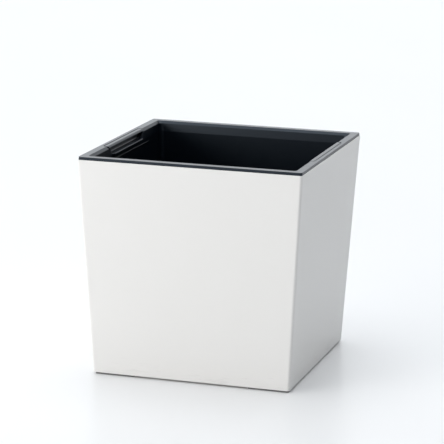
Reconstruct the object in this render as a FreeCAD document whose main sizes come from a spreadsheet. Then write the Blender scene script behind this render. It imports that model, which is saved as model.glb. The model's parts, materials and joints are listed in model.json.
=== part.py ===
import FreeCAD, Part
import math
import os
from types import SimpleNamespace

import Sketcher

# Self-watering planter: a tapered square pot that holds water, and a liner that hangs in it by its
# rim and lifts out by two pull-up handles. Wick cups reach from the liner into the reservoir, a
# filler tube leads down to it, and a float shows the water level in a clear cap.
#
# Frame: millimetres, +Z up, origin on the floor under the centre of the pot. -Y is the front.
# The two handles are on the -X and +X sides.

SIZES = {
    # pot
    "top_width": 300, "bottom_width": 268, "body_height": 285.7, "foot_height": 2.5,
    "pot_wall": 3.0, "pot_floor_top": 8.5, "corner_radius": 3.5, "edge_round": 1.1,
    "recess_depth": 3.0, "recess_margin": 16, "foot_seat": 1.0, "foot_arm": 54, "foot_width": 11,
    "foot_inset": 2.0, "foot_gap": 0.1,
    # drain hole, bayonet plug and its seal
    "drain_radius": 10, "notch_gap": 0.5, "seal_thickness": 2.0, "seal_outer": 15, "seal_gap": 0.2,
    "plug_head_radius": 16, "plug_head_height": 3.5, "plug_grip_height": 7, "plug_grip_width": 4,
    "plug_shank_radius": 9.7, "lug_radius": 12.5, "lug_width": 6, "lug_height": 1.5, "lug_gap": 0.3,
    "plug_bevel": 1.0,
    # liner
    "rim_height": 3.8, "rim_inset": 1.0, "rim_plate": 2.4, "rim_flat": 10, "bevel_width": 3.0,
    "bevel_height": 3.4, "collar_width": 1.7, "collar_height": 10.5, "liner_wall": 2.2,
    "liner_base": 70, "liner_floor": 2.2, "skirt_gap": 1.0, "skirt_wall": 1.6, "skirt_depth": 8,
    "liner_corner": 6, "slit_width": 3, "slit_length": 34, "slit_pitch": 12, "wall_rib_half": 84,
    "wall_rib_top": 273, "wall_rib_height": 1.2, "wall_rib_reach": 0.9,
    # handles
    "handle_length": 139.5, "lip_length": 114.6, "handle_gap": 1.1, "handle_travel": 45,
    "flange_thickness": 3.2, "web_thickness": 2.5, "finger_gap": 7.8, "lip_thickness": 3.5,
    "lip_reach": 8.9, "handle_corner": 4, "end_wall": 2.5, "hollow_round": 2.2, "nose_round": 3.0,
    "lip_round": 1.1, "seam_round": 0.6, "leg_width": 20, "leg_thickness": 3.0, "leg_centre": 44,
    "leg_setback": 3.0, "leg_slot_gap": 0.5, "stop_width": 3, "stop_height": 8, "stop_gap": 0.4,
    "shelf_gap": 0.3,
    # wick cups
    "cup_offset": 58, "cup_top_radius": 23, "cup_bottom_radius": 18, "cup_wall": 1.6,
    "cup_flange_radius": 25.5, "cup_flange": 2.0, "cup_base": 11, "cup_slot_width": 3.2,
    "cup_slot_height": 40, "cup_hole_gap": 0.5,
    # filler tube, its lid and the hinge pin
    "filler_x": 98, "filler_y": -100, "filler_radius": 15, "filler_bore": 13.4, "filler_base": 11.5,
    "filler_top": 262, "filler_flange_radius": 19, "tube_flange": 2.0, "intake_width": 9,
    "intake_height": 14, "tube_hole_gap": 0.3, "lid_thickness": 2.2, "lid_radius": 16,
    "hinge_setback": 18.5, "hinge_rise": 1.5, "pin_radius": 1.0, "pin_length": 14,
    "hinge_gap": 0.06, "knuckle_radius": 2.6, "knuckle_length": 7, "ear_thickness": 2.6,
    "ear_gap": 0.35, "lid_gap": 0.3, "lid_round": 0.8,
    # level indicator
    "gauge_x": 52, "gauge_y": -102, "gauge_radius": 8, "gauge_bore": 6.5, "gauge_base": 66.5,
    "gauge_top": 226, "gauge_flange_radius": 12, "spigot_radius": 6.5, "spigot_bore": 5.2,
    "spigot_height": 6, "window_bore": 6.7, "window_top": 279.5, "dome_round": 1.2, "cage_radius": 15,
    "cage_bore": 13.5, "cage_base": 10.8, "cage_plate": 1.6, "cage_top": 69.7, "cage_lid": 2.7,
    "cage_slot_width": 4, "cage_slot_height": 40, "float_radius": 12, "float_height": 16,
    "float_base": 13, "rod_radius": 1.5, "marker_radius": 4.8, "marker_base": 232,
    "marker_height": 8,
    # clip that ties the two tubes together
    "clip_base": 236, "clip_height": 6, "clip_margin": 5, "clip_wall_gap": 0.5, "clip_corner": 9,
}

CUP_SLOTS = 10
CAGE_SLOTS = 6
INTAKE_SLOTS = 4
SLITS_PER_ROW = 5

doc = FreeCAD.newDocument("SelfWateringPlanter")
sheet = doc.addObject("Spreadsheet::Sheet", "Dims")
subparts = []


class Size:
    """A length that carries both its number and the spreadsheet expression that gives it."""

    def __init__(self, value, text):
        self.value = float(value)
        self.text = text

    def __add__(self, other):
        other = as_size(other)
        return Size(self.value + other.value, f"({self.text} + {other.text})")

    def __sub__(self, other):
        other = as_size(other)
        return Size(self.value - other.value, f"({self.text} - {other.text})")

    def __mul__(self, other):
        other = as_size(other)
        return Size(self.value * other.value, f"({self.text} * {other.text})")

    def __truediv__(self, other):
        other = as_size(other)
        return Size(self.value / other.value, f"({self.text} / {other.text})")

    def __neg__(self):
        return Size(-self.value, f"(-{self.text})")


def as_size(item):
    """A plain number as a Size; a Size as it is."""
    if isinstance(item, Size):
        return item
    return Size(item, f"({item})")


def fill_sheet():
    """Write every driving dimension to the sheet and give each one back as a named Size."""
    named = SimpleNamespace()
    for row, (alias, value) in enumerate(SIZES.items(), start=1):
        sheet.set(f"A{row}", alias)
        sheet.set(f"B{row}", str(value))
        sheet.setAlias(f"B{row}", alias)
        setattr(named, alias, Size(value, f"Dims.{alias}"))
    doc.recompute()
    return named


d = fill_sheet()


def bind(thing, path, size):
    """Tie a property or a constraint to the spreadsheet."""
    thing.setExpression(path, as_size(size).text)


# ---------------------------------------------------------------- levels and widths used by all

z_shell = d.foot_height
z_edge = d.foot_height + d.body_height
z_rim = z_edge + d.rim_height
z_plate = z_rim - d.rim_plate
z_bevel = z_rim - d.bevel_height
z_collar = z_bevel - d.collar_height
z_liner_floor = d.liner_base + d.liner_floor
draft = (d.top_width - d.bottom_width) / 2 / d.body_height

rim_half = d.top_width / 2 - d.rim_inset
mouth_half = rim_half - d.rim_flat
bevel_half = mouth_half - d.bevel_width
collar_half = bevel_half - d.collar_width
skirt_outer = d.top_width / 2 - d.pot_wall - d.skirt_gap
skirt_inner = skirt_outer - d.skirt_wall


def shell_half(z):
    """Half the outside width of the pot at height z."""
    return d.bottom_width / 2 + draft * (z - z_shell)


def liner_half(z):
    """Half the inside width of the liner at height z, below its collar."""
    return collar_half - draft * (z_collar - z)


# ---------------------------------------------------------------- sketch and feature helpers

def new_body(label):
    """A new sub-part, made as a PartDesign body."""
    body = doc.addObject("PartDesign::Body", label)
    body.Label = label
    subparts.append(body)
    return body


def new_sketch(body, name, plane="XY_Plane", offset=0):
    """A sketch on one of the body's own origin planes, moved along the plane's normal."""
    sketch = body.newObject("Sketcher::SketchObject", name)
    support = [item for item in body.Origin.OriginFeatures if item.Role == plane][0]
    sketch.AttachmentSupport = (support, [""])
    sketch.MapMode = "FlatFace"
    bind(sketch, "AttachmentOffset.Base.z", offset)
    return sketch


def fix_point(sketch, geometry, point, x=None, y=None):
    """Hold one point of a sketch at x and y from its origin."""
    for kind, size in (("DistanceX", x), ("DistanceY", y)):
        if size is not None:
            size = as_size(size)
            index = sketch.addConstraint(Sketcher.Constraint(kind, geometry, point, size.value))
            bind(sketch, f"Constraints[{index}]", size)


def polygon(sketch, points):
    """A closed outline of straight lines through the points."""
    points = [(as_size(x), as_size(y)) for x, y in points]
    corners = [FreeCAD.Vector(x.value, y.value) for x, y in points]
    first = sketch.GeometryCount
    count = len(points)
    for index in range(count):
        sketch.addGeometry(Part.LineSegment(corners[index], corners[(index + 1) % count]))
    for index in range(count):
        following = first + (index + 1) % count
        sketch.addConstraint(Sketcher.Constraint("Coincident", first + index, 2, following, 1))
    for index, (x, y) in enumerate(points):
        fix_point(sketch, first + index, 1, x, y)


def rectangle(sketch, left, right, bottom, top):
    """A closed rectangle given by its four sides."""
    polygon(sketch, [(left, bottom), (right, bottom), (right, top), (left, top)])


def rounded_rectangle(sketch, left, right, bottom, top, radius):
    """A rectangle with four equal corner arcs, held by its sides and its radius."""
    left, right, bottom, top, radius = [as_size(item) for item in (left, right, bottom, top, radius)]
    x0, x1, y0, y1, r = left.value, right.value, bottom.value, top.value, radius.value
    point = FreeCAD.Vector
    sides = [
        (point(x0 + r, y0), point(x1 - r, y0)), (point(x1, y0 + r), point(x1, y1 - r)),
        (point(x1 - r, y1), point(x0 + r, y1)), (point(x0, y1 - r), point(x0, y0 + r)),
    ]
    centres = [
        point(x1 - r, y0 + r), point(x1 - r, y1 - r), point(x0 + r, y1 - r), point(x0 + r, y0 + r)]
    first = sketch.GeometryCount
    for index in range(4):
        start = math.radians(90 * (index - 1))
        circle = Part.Circle(centres[index], point(0, 0, 1), r)
        sketch.addGeometry(Part.LineSegment(*sides[index]))
        sketch.addGeometry(Part.ArcOfCircle(circle, start, start + math.pi / 2))
    for index in range(8):
        following = first + (index + 1) % 8
        sketch.addConstraint(Sketcher.Constraint("Tangent", first + index, 2, following, 1))
    for index, kind in ((0, "Horizontal"), (2, "Vertical"), (4, "Horizontal"), (6, "Vertical")):
        sketch.addConstraint(Sketcher.Constraint(kind, first + index))
    for index in (3, 5, 7):
        sketch.addConstraint(Sketcher.Constraint("Equal", first + 1, first + index))
    index = sketch.addConstraint(Sketcher.Constraint("Radius", first + 1, r))
    bind(sketch, f"Constraints[{index}]", radius)
    fix_point(sketch, first, 1, y=bottom)
    fix_point(sketch, first + 2, 1, x=right)
    fix_point(sketch, first + 4, 1, y=top)
    fix_point(sketch, first + 6, 1, x=left)


def rounded_square(sketch, half, radius):
    """A rounded square centred on the sketch's origin."""
    rounded_rectangle(sketch, -half, half, -half, half, radius)


def circle(sketch, x, y, radius):
    """A full circle."""
    x, y, radius = as_size(x), as_size(y), as_size(radius)
    centre = FreeCAD.Vector(x.value, y.value)
    index = sketch.addGeometry(Part.Circle(centre, FreeCAD.Vector(0, 0, 1), radius.value))
    fix_point(sketch, index, 3, x, y)
    held = sketch.addConstraint(Sketcher.Constraint("Radius", index, radius.value))
    bind(sketch, f"Constraints[{held}]", radius)


def feature(body, kind, name, profile, **settings):
    """A PartDesign feature made from a sketch, with its plain settings."""
    item = body.newObject(f"PartDesign::{kind}", name)
    item.Profile = profile
    for key, value in settings.items():
        setattr(item, key, value)
    return item


def pad(body, name, sketch, length, **settings):
    """Add material from a sketch along its normal."""
    item = feature(body, "Pad", name, sketch, **settings)
    bind(item, "Length", length)
    return item


def pocket(body, name, sketch, length, **settings):
    """Cut away from a sketch against its normal, or along it when Reversed."""
    item = feature(body, "Pocket", name, sketch, **settings)
    bind(item, "Length", length)
    return item


def square_loft(body, kind, name, levels):
    """A loft through rounded squares, each given as (height, half width, corner radius)."""
    sketches = []
    for index, (z, half, radius) in enumerate(levels):
        sketch = new_sketch(body, f"{name}Level{index}", offset=z)
        rounded_square(sketch, half, radius)
        sketches.append(sketch)
    item = feature(body, kind, name, sketches[0])
    item.Sections = sketches[1:]
    item.Ruled = True
    return item


def revolve(body, name, points):
    """A full turn about Z of an outline given as (radius, height) points."""
    sketch = new_sketch(body, f"{name}Sketch", "XZ_Plane")
    polygon(sketch, points)
    return feature(body, "Revolution", name, sketch, ReferenceAxis=(sketch, ["V_Axis"]), Angle=360)


def repeat_round(body, name, item, count, axis_of):
    """Repeat a feature evenly about the vertical axis of the sub-part."""
    pattern = body.newObject("PartDesign::PolarPattern", name)
    pattern.Originals = [item]
    pattern.Axis = (axis_of, ["N_Axis"])
    pattern.Angle = 360
    pattern.Occurrences = count
    body.Tip = pattern
    return pattern


def edges_where(shape, test):
    """Names of the edges whose every vertex and middle point pass a test."""
    names = []
    for number, edge in enumerate(shape.Edges, start=1):
        middle = edge.valueAt((edge.FirstParameter + edge.LastParameter) / 2)
        points = [vertex.Point for vertex in edge.Vertexes] + [middle]
        if all(test(point) for point in points):
            names.append(f"Edge{number}")
    return names


def fillet(body, name, base, radius, test):
    """Round the edges that pass a test."""
    doc.recompute()
    item = body.newObject("PartDesign::Fillet", name)
    item.Base = (base, edges_where(base.Shape, test))
    bind(item, "Radius", radius)
    return item


def near(value, size):
    """True when a coordinate is at the given place."""
    return abs(value - as_size(size).value) < 0.01


def place(body, x=0, y=0, z=0, angle=0):
    """Put a sub-part at its place in the frame, turned about Z."""
    body.Placement = FreeCAD.Placement(
        FreeCAD.Vector(), FreeCAD.Rotation(FreeCAD.Vector(0, 0, 1), angle))
    for key, size in (("x", x), ("y", y), ("z", z)):
        bind(body, f"Placement.Base.{key}", size)


# ---------------------------------------------------------------- outer pot

def make_outer_pot():
    """Tapered square shell with a solid floor, a shallow recess under it and a notched drain hole."""
    body = new_body("outer_pot")
    square_loft(body, "AdditiveLoft", "PotOutside", [
        (z_shell, d.bottom_width / 2, d.corner_radius),
        (z_edge, d.top_width / 2, d.corner_radius),
    ])
    inner_radius = d.corner_radius - 1.5
    square_loft(body, "SubtractiveLoft", "PotInside", [
        (d.pot_floor_top, shell_half(d.pot_floor_top) - d.pot_wall, inner_radius),
        (z_edge, d.top_width / 2 - d.pot_wall, inner_radius),
    ])
    doc.recompute()
    outer_line = (d.top_width / 2).value - d.corner_radius.value

    def on_outer_edge(point):
        return near(point.z, z_edge) and max(abs(point.x), abs(point.y)) > outer_line

    def on_inner_edge(point):
        return on_outer_edge(point) and max(abs(point.x), abs(point.y)) < outer_line + 1

    fillet(body, "PotTopRound", body.Tip, d.edge_round,
           lambda point: on_outer_edge(point) and not on_inner_edge(point))

    recess_sketch = new_sketch(body, "UnderRecessSketch", offset=z_shell)
    rounded_square(recess_sketch, d.bottom_width / 2 - d.recess_margin, d.liner_corner)
    pocket(body, "UnderRecess", recess_sketch, d.recess_depth, Reversed=True)

    seat_sketch = new_sketch(body, "FootSeatSketch", offset=z_shell)
    polygon(seat_sketch, foot_outline())
    seat = pocket(body, "FootSeat", seat_sketch, d.foot_seat, Reversed=True)
    doc.recompute()
    repeat_round(body, "FootSeats", seat, 4, seat_sketch)

    drain_sketch = new_sketch(body, "DrainSketch", offset=d.pot_floor_top)
    circle(drain_sketch, 0, 0, d.drain_radius)
    pocket(body, "DrainHole", drain_sketch, d.pot_floor_top)
    notch_sketch = new_sketch(body, "NotchSketch", offset=d.pot_floor_top)
    half = d.lug_width / 2 + d.notch_gap
    reach = d.lug_radius + d.notch_gap
    rectangle(notch_sketch, -half, half, -reach, reach)
    pocket(body, "LugNotches", notch_sketch, d.pot_floor_top)


def foot_outline(gap=0):
    """L-shaped outline of a corner foot, tight into the corner where X and Y are positive."""
    far = d.bottom_width / 2 - d.foot_inset
    start = far - d.foot_arm
    inner = far - d.foot_width
    gap = as_size(gap)
    return [
        (start + gap, inner + gap), (inner + gap, inner + gap), (inner + gap, start + gap),
        (far - gap, start + gap), (far - gap, far - gap), (start + gap, far - gap),
    ]


def make_foot(label, angle):
    """Soft L-shaped foot pressed into its seat under one corner of the pot."""
    body = new_body(label)
    sketch = new_sketch(body, "FootSketch")
    polygon(sketch, foot_outline(gap=d.foot_gap))
    block = pad(body, "FootPad", sketch, d.foot_height + d.foot_seat)
    far = d.bottom_width / 2 - d.foot_inset - d.foot_gap
    fillet(body, "FootCorner", block, d.corner_radius,
           lambda point: near(point.x, far) and near(point.y, far))
    place(body, angle=angle)


# ---------------------------------------------------------------- drain plug

def make_drain_seal():
    """Flat sealing ring under the head of the drain plug."""
    outer = doc.addObject("Part::Cylinder", "SealOuter")
    inner = doc.addObject("Part::Cylinder", "SealInner")
    bind(outer, "Radius", d.seal_outer)
    bind(inner, "Radius", d.plug_shank_radius + d.seal_gap)
    bind(outer, "Height", d.seal_thickness)
    bind(inner, "Height", d.seal_thickness)
    ring = doc.addObject("Part::Cut", "drain_seal")
    ring.Base = outer
    ring.Tool = inner
    ring.Label = "drain_seal"
    place(ring, z=d.pot_floor_top)
    subparts.append(ring)


def make_drain_plug():
    """Bayonet plug turned from inside the pot: round head, shank with two lugs, a bar to grip."""
    body = new_body("drain_plug")
    head = d.plug_head_height
    bevel = d.plug_bevel
    floor_under = d.pot_floor_top - z_shell - d.recess_depth
    lug_top = -(d.seal_thickness + floor_under + d.lug_gap)
    shank_end = lug_top - d.lug_height
    revolve(body, "PlugTurned", [
        (0, shank_end), (d.plug_shank_radius - bevel, shank_end), (d.plug_shank_radius, shank_end + bevel),
        (d.plug_shank_radius, 0), (d.plug_head_radius, 0), (d.plug_head_radius, head - bevel),
        (d.plug_head_radius - bevel, head), (0, head),
    ])
    grip_sketch = new_sketch(body, "GripSketch", offset=head)
    half = d.plug_grip_width / 2
    reach = d.plug_head_radius - 2
    rounded_rectangle(grip_sketch, -reach, reach, -half, half, half - 0.2)
    pad(body, "Grip", grip_sketch, d.plug_grip_height)
    lug_sketch = new_sketch(body, "LugSketch", offset=shank_end)
    half = d.lug_width / 2
    rounded_rectangle(lug_sketch, -d.lug_radius, d.lug_radius, -half, half, 1)
    pad(body, "Lugs", lug_sketch, d.lug_height)
    place(body, z=d.pot_floor_top + d.seal_thickness)


# ---------------------------------------------------------------- liner

handle_outer = skirt_inner - d.handle_gap
handle_inner = bevel_half
web_inner = handle_outer - d.web_thickness
lip_inner = web_inner - d.lip_reach
flange_bottom = z_rim - d.flange_thickness
lip_top = flange_bottom - d.finger_gap
lip_bottom = lip_top - d.lip_thickness
shelf_top = lip_bottom - d.shelf_gap
shelf_bottom = shelf_top - d.liner_floor
leg_outer = handle_outer - d.leg_setback
leg_inner = leg_outer - d.leg_thickness
stop_top = shelf_bottom - d.handle_travel - d.stop_gap
stop_bottom = stop_top - d.stop_height


def handle_half(z):
    """Half the length of a handle at height z: its ends slope inwards on the way down."""
    return d.lip_length / 2 + (d.handle_length - d.lip_length) / 2 * (z - lip_bottom) / (z_rim - lip_bottom)


def on_both_sides(draw, sketch, inner, outer, bottom, top, *extra):
    """Draw the same rectangle on the +X side and on the -X side."""
    draw(sketch, inner, outer, bottom, top, *extra)
    draw(sketch, -outer, -inner, bottom, top, *extra)


def add_rim(body):
    """Flat rim plate, the edge that rests on the pot, and the skirt that centres the liner."""
    plate_sketch = new_sketch(body, "RimPlateSketch", offset=z_plate)
    rounded_square(plate_sketch, rim_half, d.corner_radius)
    pad(body, "RimPlate", plate_sketch, d.rim_plate)
    rings = (("RimEdge", rim_half, z_edge), ("Skirt", skirt_outer, z_edge - d.skirt_depth))
    for name, outer, bottom in rings:
        ring = new_sketch(body, f"{name}Sketch", offset=bottom)
        rounded_square(ring, outer, d.corner_radius - 1)
        rounded_square(ring, skirt_inner, d.corner_radius - 1.5)
        pad(body, name, ring, z_plate - bottom)


def add_handle_pockets(body):
    """Boxes outside the wall that the two handles sit in: back, ends and floor."""
    half = d.handle_length / 2 + d.handle_gap + d.liner_wall
    sketch = new_sketch(body, "HandleBoxSketch", offset=shelf_bottom)
    on_both_sides(rectangle, sketch, collar_half, skirt_inner + 1.0, -half, half)
    pad(body, "HandleBox", sketch, z_plate - shelf_bottom)


def side_box(sketch, side, inner, outer, half, radius):
    """A rounded rectangle on the +X side or, with side -1, on the -X side."""
    ends = sorted([inner * side, outer * side], key=lambda size: size.value)
    rounded_rectangle(sketch, ends[0], ends[1], -half, half, radius)


def cut_handle_pockets(body):
    """The opening for each handle through wall and rim, and the slots for its legs."""
    gap = d.handle_gap
    for name, side in (("Right", 1), ("Left", -1)):
        levels = []
        for end, z, half in (("Low", shelf_top, d.lip_length / 2), ("High", z_rim, d.handle_length / 2)):
            sketch = new_sketch(body, f"HandleOpening{name}{end}", offset=z)
            side_box(sketch, side, collar_half - 20, skirt_inner, half + gap, d.handle_corner + gap)
            levels.append(sketch)
        opening = feature(body, "SubtractiveLoft", f"HandleOpening{name}", levels[0])
        opening.Sections = levels[1:]
        opening.Ruled = True
    slots = new_sketch(body, "LegSlotSketch", offset=shelf_top)
    gap = d.leg_slot_gap
    reach = d.leg_width / 2 + gap
    for centre in (d.leg_centre, -d.leg_centre):
        on_both_sides(rectangle, slots, leg_inner - gap, leg_outer + gap, centre - reach, centre + reach)
    pocket(body, "LegSlots", slots, d.liner_floor + 1)


def add_wall_ribs(body):
    """A thin rib along the inside of the wall under each handle."""
    sketch = new_sketch(body, "WallRibSketch", offset=d.wall_rib_top - d.wall_rib_height)
    wall = liner_half(d.wall_rib_top)
    on_both_sides(
        rectangle, sketch, wall - d.wall_rib_reach, wall + 1, -d.wall_rib_half, d.wall_rib_half)
    pad(body, "WallRibs", sketch, d.wall_rib_height)


def cut_liner_floor(body):
    """Holes for the wick cups and the two tubes, and rows of narrow drain slits."""
    sketch = new_sketch(body, "FloorHoleSketch", offset=z_liner_floor)
    for x in (d.cup_offset, -d.cup_offset):
        for y in (d.cup_offset, -d.cup_offset):
            circle(sketch, x, y, d.cup_top_radius + d.cup_hole_gap)
    circle(sketch, d.filler_x, d.filler_y, d.filler_radius + d.tube_hole_gap)
    circle(sketch, d.gauge_x, d.gauge_y, d.gauge_radius + d.tube_hole_gap)
    pocket(body, "FloorHoles", sketch, d.liner_floor + 1)
    slit_sketch = new_sketch(body, "SlitSketch", offset=z_liner_floor)
    row_start = -d.slit_pitch * ((SLITS_PER_ROW - 1) / 2)
    half = d.slit_width / 2
    for low in (-d.slit_length / 2, d.slit_length * 1.2, -d.slit_length * 2.2):
        for index in range(SLITS_PER_ROW):
            x = row_start + d.slit_pitch * index
            rounded_rectangle(slit_sketch, x - half, x + half, low, low + d.slit_length, half - 0.1)
    pocket(body, "DrainSlits", slit_sketch, d.liner_floor + 1)


def make_liner():
    """Inner pot: tapered walls, stepped collar, flat rim, handle pockets and a pierced floor."""
    body = new_body("liner")
    wall = d.liner_wall
    square_loft(body, "AdditiveLoft", "LinerOutside", [
        (d.liner_base, liner_half(d.liner_base) + wall, d.liner_corner + wall),
        (z_collar, collar_half + wall, d.liner_corner + wall),
        (z_plate + 0.4, bevel_half + wall, d.liner_corner + wall),
    ])
    add_rim(body)
    add_handle_pockets(body)
    square_loft(body, "SubtractiveLoft", "LinerInside", [
        (z_liner_floor, liner_half(z_liner_floor), d.liner_corner),
        (z_collar, collar_half, d.liner_corner),
        (z_bevel, bevel_half, d.liner_corner - 1),
        (z_rim, mouth_half, d.liner_corner - 2),
    ])
    add_wall_ribs(body)
    cut_handle_pockets(body)
    cut_liner_floor(body)


# ---------------------------------------------------------------- handles

def make_handle(label, side):
    """Pull-up handle: a flange and a lip with a hollow for the fingers between them, on two legs
    with stops. Side is +1 or -1."""
    body = new_body(label)
    levels = []
    for name, z, half in (("Low", lip_bottom, d.lip_length / 2), ("High", z_rim, d.handle_length / 2)):
        sketch = new_sketch(body, f"Block{name}", offset=z)
        side_box(sketch, side, lip_inner, handle_outer, half, d.handle_corner)
        levels.append(sketch)
    block = feature(body, "AdditiveLoft", "Block", levels[0])
    block.Sections = levels[1:]
    block.Ruled = True

    face_sketch = new_sketch(body, "FaceSketch", "XZ_Plane")
    ends = sorted([(lip_inner - 1) * side, handle_inner * side], key=lambda size: size.value)
    rectangle(face_sketch, ends[0], ends[1], lip_top, z_rim + 1)
    pocket(body, "FaceCut", face_sketch, d.handle_length + 2, SideType="Symmetric")

    hollow_sketch = new_sketch(body, "HollowSketch", "YZ_Plane", offset=web_inner * side)
    low = handle_half(lip_top) - d.end_wall
    high = handle_half(flange_bottom) - d.end_wall
    polygon(hollow_sketch, [(-low, lip_top), (low, lip_top), (high, flange_bottom), (-high, flange_bottom)])
    hollow = pocket(body, "FingerHollow", hollow_sketch, web_inner - lip_inner + 1, Reversed=side < 0)

    def line_at(x, z):
        return lambda point: near(point.x, x * side) and near(point.z, z)

    def on_hollow_back(point):
        inside = lip_top.value - 0.01 <= point.z <= flange_bottom.value + 0.01
        return near(point.x, web_inner * side) and inside

    back = fillet(body, "HollowRound", hollow, d.hollow_round, on_hollow_back)
    nose = fillet(body, "NoseRound", back, d.nose_round, line_at(handle_inner, z_rim))
    lip = fillet(body, "LipRound", nose, d.lip_round, line_at(lip_inner, lip_top))
    fillet(body, "SeamRound", lip, d.seam_round, line_at(handle_outer, z_rim))

    for name, extra, top, bottom in (
            ("Legs", 0, lip_bottom + 0.5, stop_bottom), ("Stops", d.stop_width, stop_top, stop_bottom)):
        sketch = new_sketch(body, f"{name}Sketch", offset=bottom)
        half = d.leg_width / 2 + extra
        ends = sorted([leg_inner * side, leg_outer * side], key=lambda size: size.value)
        for centre in (d.leg_centre, -d.leg_centre):
            rectangle(sketch, ends[0], ends[1], centre - half, centre + half)
        pad(body, name, sketch, top - bottom)


# ---------------------------------------------------------------- wick cups

def make_wick_cup(label, x_side, y_side):
    """Slotted tapered cup that hangs from the liner floor into the water and holds soil."""
    body = new_body(label)
    flange_top = z_liner_floor + d.cup_flange
    wall = d.cup_wall
    revolve(body, "CupTurned", [
        (0, d.cup_base), (d.cup_bottom_radius, d.cup_base), (d.cup_top_radius, z_liner_floor),
        (d.cup_flange_radius, z_liner_floor), (d.cup_flange_radius, flange_top),
        (d.cup_top_radius - wall, flange_top), (d.cup_bottom_radius - wall, d.cup_base + wall),
        (0, d.cup_base + wall),
    ])
    doc.recompute()
    slot_sketch = new_sketch(body, "SlotSketch", offset=d.cup_base + wall)
    half = d.cup_slot_width / 2
    rectangle(slot_sketch, d.cup_bottom_radius - 5, d.cup_top_radius + 1, -half, half)
    slot = pocket(body, "Slot", slot_sketch, d.cup_slot_height, Reversed=True)
    doc.recompute()
    repeat_round(body, "Slots", slot, CUP_SLOTS, slot_sketch)
    place(body, x=d.cup_offset * x_side, y=d.cup_offset * y_side)


# ---------------------------------------------------------------- filler tube and lid

hinge_y = -d.hinge_setback
hinge_z = d.filler_top + d.hinge_rise


def tube_outline(outer, bore, base, top, flange_radius):
    """Outline of a tube whose flange rests on the liner floor."""
    flange_top = z_liner_floor + d.tube_flange
    return [
        (bore, base), (outer, base), (outer, z_liner_floor), (flange_radius, z_liner_floor),
        (flange_radius, flange_top), (outer, flange_top), (outer, top), (bore, top),
    ]


def make_filler_tube():
    """Tube that water is poured into, with intake slots in the reservoir and two hinge ears."""
    body = new_body("filler_tube")
    revolve(body, "FillerTurned", tube_outline(
        d.filler_radius, d.filler_bore, d.filler_base, d.filler_top, d.filler_flange_radius))
    doc.recompute()
    slot_sketch = new_sketch(body, "IntakeSketch", offset=d.filler_base)
    half = d.intake_width / 2
    rectangle(slot_sketch, d.filler_bore - 4, d.filler_radius + 1, -half, half)
    slot = pocket(body, "Intake", slot_sketch, d.intake_height, Reversed=True)
    doc.recompute()
    repeat_round(body, "Intakes", slot, INTAKE_SLOTS, slot_sketch)

    ear_start = d.knuckle_length / 2 + d.ear_gap
    ear_end = ear_start + d.ear_thickness
    radius = d.knuckle_radius
    root = -d.filler_radius + 1
    for name, near_side in (("Right", ear_start), ("Left", -ear_end)):
        arm = new_sketch(body, f"EarArm{name}Sketch", "YZ_Plane", offset=near_side)
        polygon(arm, [
            (hinge_y - radius, hinge_z - 1), (root, d.filler_top - 12), (root, hinge_z - radius - 0.6),
            (hinge_y + radius, hinge_z - 1),
        ])
        pad(body, f"EarArm{name}", arm, d.ear_thickness)
        head = new_sketch(body, f"EarHead{name}Sketch", "YZ_Plane", offset=near_side)
        circle(head, hinge_y, hinge_z, radius)
        pad(body, f"EarHead{name}", head, d.ear_thickness)
    bore_sketch = new_sketch(body, "PinBoreSketch", "YZ_Plane", offset=ear_end + 1)
    circle(bore_sketch, hinge_y, hinge_z, d.pin_radius)
    pocket(body, "PinBore", bore_sketch, ear_end * 2 + 2)
    place(body, x=d.filler_x, y=d.filler_y)


def make_lid_pin():
    """Steel hinge pin held in the ears of the filler tube."""
    pin = doc.addObject("Part::Cylinder", "lid_pin")
    pin.Label = "lid_pin"
    bind(pin, "Radius", d.pin_radius)
    bind(pin, "Height", d.pin_length)
    pin.Placement = FreeCAD.Placement(
        FreeCAD.Vector(), FreeCAD.Rotation(FreeCAD.Vector(0, 1, 0), 90))
    bind(pin, "Placement.Base.x", d.filler_x - d.pin_length / 2)
    bind(pin, "Placement.Base.y", d.filler_y + hinge_y)
    bind(pin, "Placement.Base.z", hinge_z)
    subparts.append(pin)


def make_filler_lid():
    """Round lid over the filler tube, with a knuckle round the pin and a lip to lift it by."""
    body = new_body("filler_lid")
    lid_base = d.filler_top + d.lid_gap
    disc = new_sketch(body, "LidSketch", offset=lid_base)
    circle(disc, 0, 0, d.lid_radius)
    plate = pad(body, "LidPlate", disc, d.lid_thickness)
    fillet(body, "LidRound", plate, d.lid_round, lambda point: near(point.z, lid_base + d.lid_thickness))
    tab = new_sketch(body, "TabSketch", offset=lid_base)
    rounded_rectangle(tab, -6, 6, d.lid_radius - 4, d.lid_radius + 3.5, 2)
    pad(body, "LiftTab", tab, d.lid_thickness - 0.4)
    arm = new_sketch(body, "ArmSketch", "YZ_Plane")
    rectangle(arm, hinge_y, -d.lid_radius + 3, lid_base, lid_base + d.lid_thickness)
    pad(body, "Arm", arm, d.knuckle_length, SideType="Symmetric")
    knuckle = new_sketch(body, "KnuckleSketch", "YZ_Plane")
    circle(knuckle, hinge_y, hinge_z, d.knuckle_radius)
    pad(body, "Knuckle", knuckle, d.knuckle_length, SideType="Symmetric")
    bore = new_sketch(body, "KnuckleBoreSketch", "YZ_Plane")
    circle(bore, hinge_y, hinge_z, d.pin_radius + d.hinge_gap)
    pocket(body, "KnuckleBore", bore, d.knuckle_length + 2, SideType="Symmetric")
    place(body, x=d.filler_x, y=d.filler_y)


# ---------------------------------------------------------------- level indicator

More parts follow.
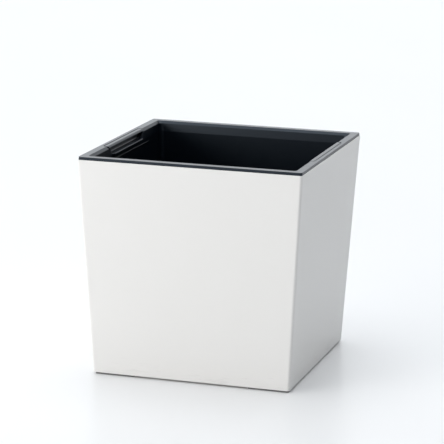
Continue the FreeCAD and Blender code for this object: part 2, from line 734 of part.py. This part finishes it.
def make_gauge_tube():
    """Tube that guides the float rod up from the reservoir, with a spigot for the clear cap."""
    body = new_body("gauge_tube")
    flange_top = z_liner_floor + d.tube_flange
    spigot_top = d.gauge_top + d.spigot_height
    revolve(body, "GaugeTurned", [
        (d.gauge_bore, d.gauge_base), (d.gauge_radius, d.gauge_base), (d.gauge_radius, z_liner_floor),
        (d.gauge_flange_radius, z_liner_floor), (d.gauge_flange_radius, flange_top),
        (d.gauge_radius, flange_top), (d.gauge_radius, d.gauge_top), (d.spigot_radius, d.gauge_top),
        (d.spigot_radius, spigot_top), (d.spigot_bore, spigot_top), (d.spigot_bore, d.gauge_top - 3),
        (d.gauge_bore, d.gauge_top - 6),
    ])
    place(body, x=d.gauge_x, y=d.gauge_y)


def make_gauge_window():
    """Clear cap over the top of the indicator tube, closed by a small dome."""
    body = new_body("gauge_window")
    wall = d.gauge_radius - d.window_bore
    turned = revolve(body, "WindowTurned", [
        (d.window_bore, d.gauge_top), (d.gauge_radius, d.gauge_top), (d.gauge_radius, d.window_top),
        (0, d.window_top), (0, d.window_top - wall), (d.window_bore, d.window_top - wall),
    ])
    fillet(body, "Dome", turned, d.dome_round, lambda point: near(
        point.z, d.window_top) and near(math.hypot(point.x, point.y), d.gauge_radius))
    place(body, x=d.gauge_x, y=d.gauge_y)


def make_float_cage():
    """Slotted cage under the liner that the float rises and falls in."""
    body = new_body("float_cage")
    inside_top = d.cage_top - d.cage_lid
    revolve(body, "CageTurned", [
        (0, d.cage_base), (d.cage_radius, d.cage_base), (d.cage_radius, d.cage_top),
        (d.gauge_radius + 0.05, d.cage_top), (d.gauge_radius + 0.05, inside_top),
        (d.cage_bore, inside_top), (d.cage_bore, d.cage_base + d.cage_plate),
        (0, d.cage_base + d.cage_plate),
    ])
    doc.recompute()
    slot_sketch = new_sketch(body, "CageSlotSketch", offset=d.cage_base + 6)
    half = d.cage_slot_width / 2
    rectangle(slot_sketch, d.cage_bore - 3, d.cage_radius + 1, -half, half)
    slot = pocket(body, "CageSlot", slot_sketch, d.cage_slot_height, Reversed=True)
    doc.recompute()
    repeat_round(body, "CageSlots", slot, CAGE_SLOTS, slot_sketch)
    place(body, x=d.gauge_x, y=d.gauge_y)


def make_float():
    """Float, its rod and the coloured marker on top of the rod: three pieces that move as one."""
    body = new_body("float")
    top = d.float_base + d.float_height
    revolve(body, "FloatTurned", [
        (0, d.float_base), (d.float_radius - 1.5, d.float_base), (d.float_radius, d.float_base + 1.5),
        (d.float_radius, top - 1.5), (d.float_radius - 1.5, top), (0, top),
    ])
    place(body, x=d.gauge_x, y=d.gauge_y)

    rod = doc.addObject("Part::Cylinder", "float_rod")
    rod.Label = "float_rod"
    bind(rod, "Radius", d.rod_radius)
    bind(rod, "Height", d.marker_base - top)
    place(rod, x=d.gauge_x, y=d.gauge_y, z=top)
    subparts.append(rod)

    marker = new_body("level_marker")
    marker_top = d.marker_base + d.marker_height
    revolve(marker, "MarkerTurned", [
        (0, d.marker_base), (d.marker_radius - 1, d.marker_base), (d.marker_radius, d.marker_base + 1),
        (d.marker_radius, marker_top - 2), (d.marker_radius - 2, marker_top), (0, marker_top),
    ])
    place(marker, x=d.gauge_x, y=d.gauge_y)


# ---------------------------------------------------------------- tube clip

def make_tube_clip():
    """Plate that ties the filler tube to the indicator tube and keeps them off the wall."""
    body = new_body("tube_clip")
    sketch = new_sketch(body, "ClipSketch", offset=d.clip_base)
    left = d.gauge_x - d.gauge_radius - d.clip_margin
    right = d.filler_x + d.filler_radius + d.clip_margin
    back = -(liner_half(d.clip_base) - d.clip_wall_gap)
    front = d.filler_y + d.filler_radius + d.clip_margin
    rounded_rectangle(sketch, left, right, back, front, d.clip_corner)
    circle(sketch, d.filler_x, d.filler_y, d.filler_radius + 0.1)
    circle(sketch, d.gauge_x, d.gauge_y, d.gauge_radius + 0.1)
    pad(body, "ClipPlate", sketch, d.clip_height)
    window = new_sketch(body, "ClipWindowSketch", offset=d.clip_base)
    middle = (d.gauge_x + d.filler_x) / 2 - 3
    rounded_rectangle(window, middle - 7, middle + 7, back + 5, front - 5, 4)
    pocket(body, "ClipWindow", window, d.clip_height, Reversed=True)


# ---------------------------------------------------------------- build, check and write

def check_subparts():
    """Stop if any feature failed, a cut removed nothing, or a sub-part is not a sound solid."""
    for item in doc.Objects:
        if {"Invalid", "Error"} & set(item.State):
            raise RuntimeError(f"{item.Label} did not compute: {item.State}")
        if item.TypeId in ("PartDesign::Pocket", "PartDesign::SubtractiveLoft", "PartDesign::PolarPattern"):
            if item.Shape.Volume >= item.BaseFeature.Shape.Volume - 0.01:
                raise RuntimeError(f"{item.Label} of {item.getParent().Label} cuts nothing")
    for item in subparts:
        shape = item.Shape
        if shape.isNull() or not shape.isValid() or shape.Volume <= 0:
            raise RuntimeError(f"{item.Label} is not a valid solid")


def write_subparts():
    """Write each sub-part to its own file, named after its label."""
    os.makedirs("parts", exist_ok=True)
    for item in subparts:
        item.Shape.exportStep(f"parts/{item.Label}.step")
        box = item.Shape.BoundBox
        print(f"{item.Label:24s} solids {len(item.Shape.Solids)}  volume {item.Shape.Volume:10.0f}  "
              f"z {box.ZMin:7.2f} to {box.ZMax:7.2f}")


make_outer_pot()
for number, corner in enumerate(("back_right", "back_left", "front_left", "front_right")):
    make_foot(f"foot_{corner}", 90 * number)
make_drain_seal()
make_drain_plug()
make_liner()
make_handle("handle_right", 1)
make_handle("handle_left", -1)
for x_name, x_way in (("left", -1), ("right", 1)):
    for y_name, y_way in (("front", -1), ("back", 1)):
        make_wick_cup(f"wick_cup_{y_name}_{x_name}", x_way, y_way)
make_filler_tube()
make_lid_pin()
make_filler_lid()
make_gauge_tube()
make_gauge_window()
make_float_cage()
make_float()
make_tube_clip()
doc.recompute()
check_subparts()
write_subparts()
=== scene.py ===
import json
import math

import bpy
from mathutils import Matrix, Vector


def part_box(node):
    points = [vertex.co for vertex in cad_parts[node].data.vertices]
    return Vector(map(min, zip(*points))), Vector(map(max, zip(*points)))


# Looks of the self-watering planter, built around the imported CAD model. Metres, +Z up, the front is
# -Y, and the origin is on the floor under the middle of the pot.

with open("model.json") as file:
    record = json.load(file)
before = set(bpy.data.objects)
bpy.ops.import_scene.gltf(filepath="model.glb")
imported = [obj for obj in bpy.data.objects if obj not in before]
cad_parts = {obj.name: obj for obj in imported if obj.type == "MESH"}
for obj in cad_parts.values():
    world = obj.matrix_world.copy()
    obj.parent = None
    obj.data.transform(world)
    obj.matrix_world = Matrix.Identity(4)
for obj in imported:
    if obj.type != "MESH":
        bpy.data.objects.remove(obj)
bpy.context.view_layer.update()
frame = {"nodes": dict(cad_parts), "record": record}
nodes = frame["nodes"]
scene = bpy.context.scene

pot_low, pot_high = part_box("outer_pot")
WIDTH = pot_high.x - pot_low.x
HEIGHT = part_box("liner")[1].z


# ---------------------------------------------------------------- material helpers

class Shader:
    """A node material under construction, with short names for what every finish here uses."""

    def __init__(self, name, specular=0.5, edge=0.0):
        self.material = bpy.data.materials.new(name)
        self.material.use_nodes = True
        self.tree = self.material.node_tree
        self.surface = self.tree.nodes["Principled BSDF"]
        self.surface.inputs["Specular IOR Level"].default_value = specular
        self.place = self.add("ShaderNodeTexCoord").outputs["Object"]
        self.normal = None
        if edge > 0:
            rounded = self.add("ShaderNodeBevel", samples=6)
            rounded.inputs["Radius"].default_value = edge
            self.normal = rounded.outputs["Normal"]

    def add(self, kind, **settings):
        node = self.tree.nodes.new(kind)
        for key, value in settings.items():
            setattr(node, key, value)
        return node

    def link(self, source, target):
        self.tree.links.new(source, target)

    def height(self):
        """The height above the floor of the point being shaded, with the part at rest."""
        position = self.add("ShaderNodeSeparateXYZ")
        self.link(self.place, position.inputs["Vector"])
        return position.outputs["Z"]

    def noise(self, size, detail=2.0, stretch=(1, 1, 1), rough=0.5):
        """Soft noise with features about size metres across."""
        mapping = self.add("ShaderNodeMapping")
        mapping.inputs["Scale"].default_value = stretch
        node = self.add("ShaderNodeTexNoise")
        node.inputs["Scale"].default_value = 1.0 / size
        node.inputs["Detail"].default_value = detail
        node.inputs["Roughness"].default_value = rough
        self.link(self.place, mapping.inputs["Vector"])
        self.link(mapping.outputs["Vector"], node.inputs["Vector"])
        return node.outputs["Fac"]

    def range(self, value, low, high, from_low=0.0, from_high=1.0):
        """A value rescaled from one range to another."""
        node = self.add("ShaderNodeMapRange")
        node.inputs["From Min"].default_value = from_low
        node.inputs["From Max"].default_value = from_high
        node.inputs["To Min"].default_value = low
        node.inputs["To Max"].default_value = high
        self.link(value, node.inputs["Value"])
        return node.outputs["Result"]

    def bump(self, height, depth):
        """Add relief of the given depth in metres on top of what is there."""
        node = self.add("ShaderNodeBump")
        node.inputs["Distance"].default_value = depth
        node.inputs["Strength"].default_value = 1.0
        self.link(height, node.inputs["Height"])
        if self.normal is not None:
            self.link(self.normal, node.inputs["Normal"])
        self.normal = node.outputs["Normal"]

    def math(self, operation, *values):
        """One arithmetic step on sockets or numbers."""
        node = self.add("ShaderNodeMath", operation=operation)
        for slot, value in enumerate(values):
            if isinstance(value, (int, float)):
                node.inputs[slot].default_value = value
            else:
                self.link(value, node.inputs[slot])
        return node.outputs["Value"]

    def mix(self, share, first, second):
        """Mix two colours, each a colour or a socket."""
        node = self.add("ShaderNodeMix", data_type="RGBA")
        self.link(share, node.inputs["Factor"])
        for slot, value in (("A", first), ("B", second)):
            target = [item for item in node.inputs if item.name == slot and item.type == "RGBA"][0]
            if isinstance(value, tuple):
                target.default_value = (*value, 1.0)
            else:
                self.link(value, target)
        return [item for item in node.outputs if item.type == "RGBA"][0]

    def finish(self, color, roughness):
        """Connect the colour, roughness and relief, and give the material back."""
        self.link(color, self.surface.inputs["Base Color"])
        self.link(roughness, self.surface.inputs["Roughness"])
        if self.normal is not None:
            self.link(self.normal, self.surface.inputs["Normal"])
        return self.material


def shade(color, factor):
    """A colour made lighter or darker."""
    return tuple(min(channel * factor, 1.0) for channel in color)


# How far moulded edges look rounded, the liner's colour, and the tint of its reflections.
EDGE_ROUND = 0.0004
ANTHRACITE = (0.0024, 0.0050, 0.0092)
COOL_SHEEN = (0.76, 0.87, 1.0)

# Sizes of the unevenness in moulded plastic.
FLOW_MARKS = 0.045
SHEEN_PATCHES = 0.012
RUB_MARKS = 0.02


def moulded(name, color, roughness, grain=0.0006, depth=0.00001, mottle=0.05, spread=0.03, sheen=None):
    """Moulded plastic or rubber: eroded fine grain, faint flow marks, uneven sheen and light handling."""
    shader = Shader(name, edge=EDGE_ROUND)
    if sheen is not None:
        shader.surface.inputs["Specular Tint"].default_value = (*sheen, 1.0)
    fine = shader.noise(grain, detail=3.0)
    flow = shader.noise(FLOW_MARKS, detail=3.0, stretch=(1.0, 1.0, 0.35))
    cloud = shader.noise(SHEEN_PATCHES, detail=4.0, rough=0.6)
    rubbed = shader.noise(RUB_MARKS, detail=6.0, stretch=(0.3, 1.0, 1.0), rough=0.7)
    shader.bump(fine, depth)
    shader.bump(cloud, depth)
    tint = shader.mix(flow, shade(color, 1 - mottle), shade(color, 1 + mottle))
    speck = shader.range(fine, 0.0, 0.35, 0.62, 0.8)
    tint = shader.mix(speck, tint, shade(color, 1 + 4 * mottle))
    base = shader.range(cloud, roughness - spread, roughness + spread, 0.3, 0.7)
    polish = shader.range(rubbed, 0.0, spread, 0.55, 0.75)
    return shader.finish(tint, shader.math("SUBTRACT", base, polish))


def anthracite(name):
    """The satin anthracite of the liner and its handles."""
    return moulded(name, ANTHRACITE, 0.31, spread=0.015, sheen=COOL_SHEEN)


SCUFF_COLOR = (0.62, 0.61, 0.59)
SCUFF_HEIGHTS = (0.002, 0.03)


def white_shell():
    """Satin white moulded shell: very slight waviness, a fine skin and faint scuffs near the floor."""
    color = (0.865, 0.855, 0.838)
    shader = Shader("white_shell_finish", edge=EDGE_ROUND)
    wave = shader.noise(0.035, detail=1.0)
    skin = shader.noise(0.0014, detail=2.0)
    cloud = shader.noise(0.09, detail=3.0)
    shader.bump(wave, 0.00003)
    shader.bump(skin, 0.000006)
    low = shader.range(shader.height(), 1.0, 0.0, *SCUFF_HEIGHTS)
    scuff = shader.noise(0.006, detail=6.0, stretch=(0.25, 0.25, 1.6), rough=0.7)
    scuffed = shader.math("MULTIPLY", low, shader.range(scuff, 0.0, 0.5, 0.55, 0.75))
    tint = shader.mix(cloud, shade(color, 0.99), shade(color, 1.01))
    tint = shader.mix(scuffed, tint, SCUFF_COLOR)
    base = shader.range(cloud, 0.29, 0.36, 0.3, 0.7)
    return shader.finish(tint, shader.math("ADD", base, shader.math("MULTIPLY", scuffed, 0.3)))


# The rings on the clear cap: the marker's rise from empty to full, the rings' width and their colour.
LEVEL_TRAVEL = 0.036
LEVEL_RING = 0.0008
RING_COLOR = (0.02, 0.02, 0.02)


def clear_plastic():
    """Clear moulded cap: see-through, with a faint haze, mould waviness and two dark level rings."""
    color = (0.93, 0.96, 0.97)
    shader = Shader("clear_window_finish")
    shader.surface.inputs["Transmission Weight"].default_value = 0.92
    shader.surface.inputs["IOR"].default_value = 1.49
    wave = shader.noise(0.006, detail=2.0)
    shader.bump(wave, 0.00003)
    tint = shader.mix(wave, shade(color, 0.98), color)
    level = shader.height()
    rest = sum(corner.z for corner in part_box("level_marker")) / 2
    for mark in (rest, rest + LEVEL_TRAVEL):
        away = shader.math("ABSOLUTE", shader.math("SUBTRACT", level, mark))
        ring = shader.math("LESS_THAN", away, LEVEL_RING / 2)
        tint = shader.mix(ring, tint, RING_COLOR)
    return shader.finish(tint, shader.range(wave, 0.03, 0.1))


def drawn_steel():
    """Drawn steel wire: fine lines along the pin."""
    color = (0.55, 0.55, 0.56)
    shader = Shader("pin_steel_finish")
    shader.surface.inputs["Metallic"].default_value = 1.0
    lines = shader.noise(0.0004, detail=3.0, stretch=(0.04, 1.0, 1.0))
    shader.bump(lines, 0.000008)
    tint = shader.mix(lines, shade(color, 0.9), shade(color, 1.1))
    return shader.finish(tint, shader.range(lines, 0.22, 0.4))


def foam_skin():
    """Float: pale closed-cell foam with small pores."""
    color = (0.80, 0.80, 0.78)
    shader = Shader("float_foam_finish")
    cells = shader.add("ShaderNodeTexVoronoi")
    cells.inputs["Scale"].default_value = 900.0
    shader.link(shader.place, cells.inputs["Vector"])
    shader.bump(cells.outputs["Distance"], 0.00012)
    cloud = shader.noise(0.008, detail=3.0)
    tint = shader.mix(cloud, shade(color, 0.93), shade(color, 1.04))
    return shader.finish(tint, shader.range(cloud, 0.6, 0.8))


def make_finishes():
    """One finished material for each of the record's material slots."""
    return {
        "white_shell": white_shell(),
        "foot_rubber": moulded("foot_rubber_finish", (0.16, 0.16, 0.165), 0.75, depth=0.00004, mottle=0.08),
        "seal_rubber": moulded("seal_rubber_finish", (0.02, 0.02, 0.02), 0.6, depth=0.00003),
        "plug_plastic": moulded("plug_plastic_finish", (0.030, 0.034, 0.040), 0.45),
        "liner_plastic": anthracite("liner_plastic_finish"),
        "handle_plastic": anthracite("handle_plastic_finish"),
        "cup_plastic": moulded("cup_plastic_finish", (0.016, 0.018, 0.020), 0.5),
        "tube_plastic": moulded("tube_plastic_finish", (0.035, 0.040, 0.048), 0.45),
        "clip_plastic": moulded("clip_plastic_finish", (0.022, 0.025, 0.030), 0.5),
        "lid_plastic": moulded("lid_plastic_finish", (0.030, 0.034, 0.040), 0.42),
        "pin_steel": drawn_steel(),
        "clear_window": clear_plastic(),
        "float_foam": foam_skin(),
        "rod_plastic": moulded("rod_plastic_finish", (0.62, 0.62, 0.60), 0.4, mottle=0.02),
        "marker_red": moulded("marker_red_finish", (0.55, 0.02, 0.015), 0.25, mottle=0.04),
    }


def paint_nodes(finishes):
    """Give every CAD node its finished material."""
    for entry in frame["record"]["subparts"]:
        node = nodes[entry["node"]]
        for material_slot in node.material_slots:
            material_slot.material = finishes[entry["material_slot"]]


# ---------------------------------------------------------------- floor, light and camera

FLOOR_REACH = 9.0
FLOOR_TINTS = ((0.855, 0.857, 0.86), (0.865, 0.867, 0.87))
FLOOR_ROUGHNESS = (0.29, 0.34)
FLOOR_CLOUDS = 0.6


def make_floor():
    """A wide pale floor under the pot."""
    mesh = bpy.data.meshes.new("floor")
    signs = ((-1, -1), (1, -1), (1, 1), (-1, 1))
    corners = [(x * FLOOR_REACH, y * FLOOR_REACH, 0) for x, y in signs]
    mesh.from_pydata(corners, [], [(0, 1, 2, 3)])
    floor = bpy.data.objects.new("floor", mesh)
    scene.collection.objects.link(floor)
    shader = Shader("floor_finish", specular=0.25)
    cloud = shader.noise(FLOOR_CLOUDS, detail=2.0)
    tint = shader.mix(cloud, *FLOOR_TINTS)
    mesh.materials.append(shader.finish(tint, shader.range(cloud, *FLOOR_ROUGHNESS)))


KEY_PLACE = Vector((-2.2, -1.9, 0.78))
KEY_SIZE = (2.4, 1.1)
KEY_POWER = 50
KEY_TINT = (1.0, 0.985, 0.96)


def add_key():
    """A low, wide, soft light from the front left, aimed at the middle of the planter."""
    light = bpy.data.lights.new("key", "AREA")
    light.shape = "RECTANGLE"
    light.size, light.size_y = KEY_SIZE
    light.energy = KEY_POWER
    light.color = KEY_TINT
    lamp = bpy.data.objects.new("key", light)
    scene.collection.objects.link(lamp)
    lamp.location = KEY_PLACE
    aim = Vector((0, 0, HEIGHT / 2)) - KEY_PLACE
    lamp.rotation_euler = aim.to_track_quat("-Z", "Y").to_euler()


# Brightness of the surroundings overhead, midway up and near the horizon; the heading of each lit
# side; and the slopes, as the upward part of a unit direction, over which one band fades into another.
SKY_TOP = 2.38
SKY_MIDDLE = {"back": 0.60}
SKY_LOW = {"back": 1.78, "front": 0.55}
SKY_SIDES = {"back": (-0.33, 0.944), "front": (-0.33, -0.944)}
TOP_STEP = (0.74, 0.88)
MIDDLE_STEP = (0.25, 0.45)
AIR_TINT = (0.94, 0.97, 1.0, 1.0)
SMALLEST_LEVEL = 0.0001


def make_world():
    """Soft studio surroundings: a bright ceiling, a lit backdrop behind, a dim front and dark sides."""
    world = bpy.data.worlds.new("studio")
    world.use_nodes = True
    tree = world.node_tree

    def add(kind, **settings):
        node = tree.nodes.new(kind)
        for key, value in settings.items():
            setattr(node, key, value)
        return node

    def math_step(operation, *values):
        """One arithmetic step on sockets or numbers."""
        node = add("ShaderNodeMath", operation=operation)
        for slot, value in enumerate(values):
            if isinstance(value, (int, float)):
                node.inputs[slot].default_value = value
            else:
                tree.links.new(value, node.inputs[slot])
        return node.outputs["Value"]

    def fade(value, limits):
        """A smooth step from 0 to 1 between two limits."""
        node = add("ShaderNodeMapRange", interpolation_type="SMOOTHSTEP")
        node.inputs["From Min"].default_value, node.inputs["From Max"].default_value = limits
        tree.links.new(value, node.inputs["Value"])
        return node.outputs["Result"]

    ray = add("ShaderNodeSeparateXYZ")
    tree.links.new(add("ShaderNodeTexCoord").outputs["Generated"], ray.inputs["Vector"])
    across, along, up = (ray.outputs[axis] for axis in "XYZ")
    level = math_step("SQRT", math_step("ADD", math_step("MULTIPLY", across, across),
                                        math_step("MULTIPLY", along, along)))
    level = math_step("MAXIMUM", level, SMALLEST_LEVEL)
    side = {}
    for name, (toward_x, toward_y) in SKY_SIDES.items():
        reach = math_step("ADD", math_step("MULTIPLY", across, toward_x),
                          math_step("MULTIPLY", along, toward_y))
        facing = math_step("MAXIMUM", math_step("DIVIDE", reach, level), 0.0)
        side[name] = math_step("MULTIPLY", facing, facing)
    top = fade(up, TOP_STEP)
    above_low = fade(up, MIDDLE_STEP)
    shares = {"middle": math_step("SUBTRACT", above_low, top),
              "low": math_step("SUBTRACT", 1.0, above_low)}
    strength = math_step("MULTIPLY", top, SKY_TOP)
    for band, levels in (("middle", SKY_MIDDLE), ("low", SKY_LOW)):
        for name, amount in levels.items():
            share = math_step("MULTIPLY", shares[band], side[name])
            strength = math_step("ADD", strength, math_step("MULTIPLY", share, amount))
    background = tree.nodes["Background"]
    background.inputs["Color"].default_value = AIR_TINT
    tree.links.new(strength, background.inputs["Strength"])
    scene.world = world


def make_light():
    """Plain soft studio light: the surroundings and one key light."""
    make_world()
    add_key()
    scene.view_settings.view_transform = "Standard"


# The camera stands about ten pot widths away; its place is measured from the pot's underside.
CAMERA_PLACE = Vector((2.960, -9.585, 2.874)) * WIDTH + Vector((0, 0, pot_low.z))
CAMERA_YAW = math.radians(-17.17)
CAMERA_PITCH = math.radians(12.70)
CAMERA_ROLL = math.radians(0.717)
LENS = 187.3
SENSOR_WIDTH = 36.0
VIEW_DEPTH = 50.0


def make_camera():
    """Long lens from the front right, a little above the rim."""
    data = bpy.data.cameras.new("camera")
    data.sensor_width = SENSOR_WIDTH
    data.lens = LENS
    data.clip_end = VIEW_DEPTH
    ahead = Vector((math.sin(CAMERA_YAW) * math.cos(CAMERA_PITCH),
                    math.cos(CAMERA_YAW) * math.cos(CAMERA_PITCH), -math.sin(CAMERA_PITCH)))
    right = Vector((math.cos(CAMERA_YAW), -math.sin(CAMERA_YAW), 0))
    above = right.cross(ahead)
    turned_right = right * math.cos(CAMERA_ROLL) + above * math.sin(CAMERA_ROLL)
    turned_above = above * math.cos(CAMERA_ROLL) - right * math.sin(CAMERA_ROLL)
    camera = bpy.data.objects.new("camera", data)
    scene.collection.objects.link(camera)
    turn = Matrix((turned_right, turned_above, -ahead)).transposed().to_4x4()
    camera.matrix_world = Matrix.Translation(CAMERA_PLACE) @ turn
    scene.camera = camera


make_camera()
make_light()
make_floor()
paint_nodes(make_finishes())
